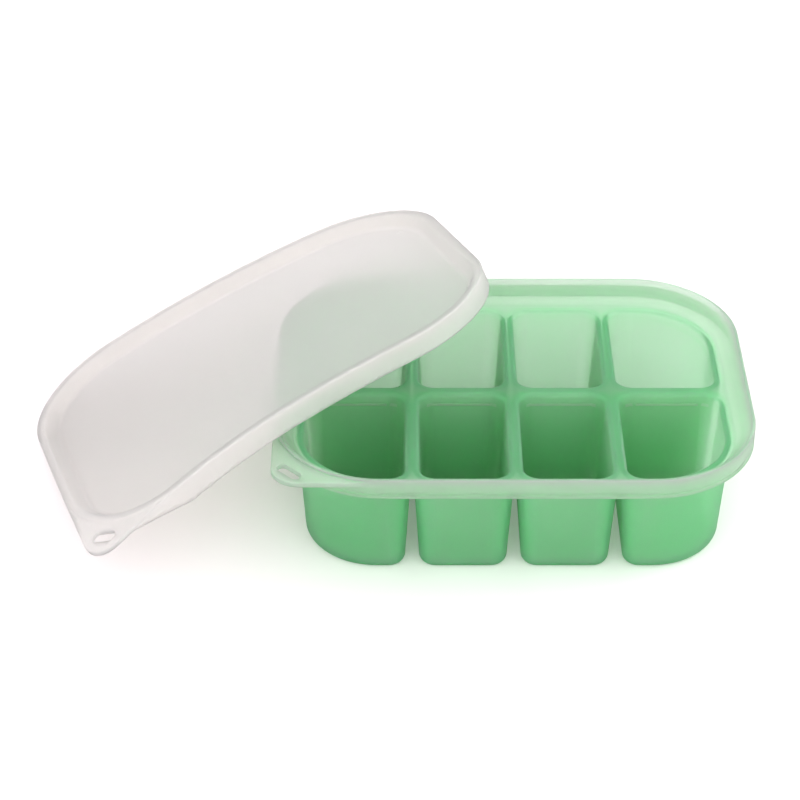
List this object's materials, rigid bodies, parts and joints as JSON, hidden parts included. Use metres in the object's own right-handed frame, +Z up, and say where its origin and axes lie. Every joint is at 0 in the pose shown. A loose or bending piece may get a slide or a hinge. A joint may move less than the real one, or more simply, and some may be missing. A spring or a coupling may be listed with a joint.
{
  "type": "baby food freezer tray",
  "caption": "Silicone freezer tray with drafted portion cups under a broad soft-cornered rim, and a dished press-fit lid that lies off it, leaning on the rim.",
  "frame": {"origin": "middle of the bounding box of tray and leaning lid, on the ground that both stand on", "axes": "+X along the tray's length, away from the lid's low end; +Y from the tray's front to its back; +Z up, out of the cups"},
  "size_m": [0.3254, 0.2144, 0.1069],
  "materials": {
    "tray_silicone": "satin, slightly translucent moulded silicone",
    "lid_silicone": "satin, frosted translucent moulded silicone"
  },
  "bodies": {
    "tray": {"tray": "tray_silicone"},
    "lid": {"lid": "lid_silicone"}
  },
  "joints": [
    {"name": "lid_lift", "type": "slide", "parent": "tray", "child": "lid", "axis": [0, 0, 1], "range_m": [0, 0.12]}
  ]
}
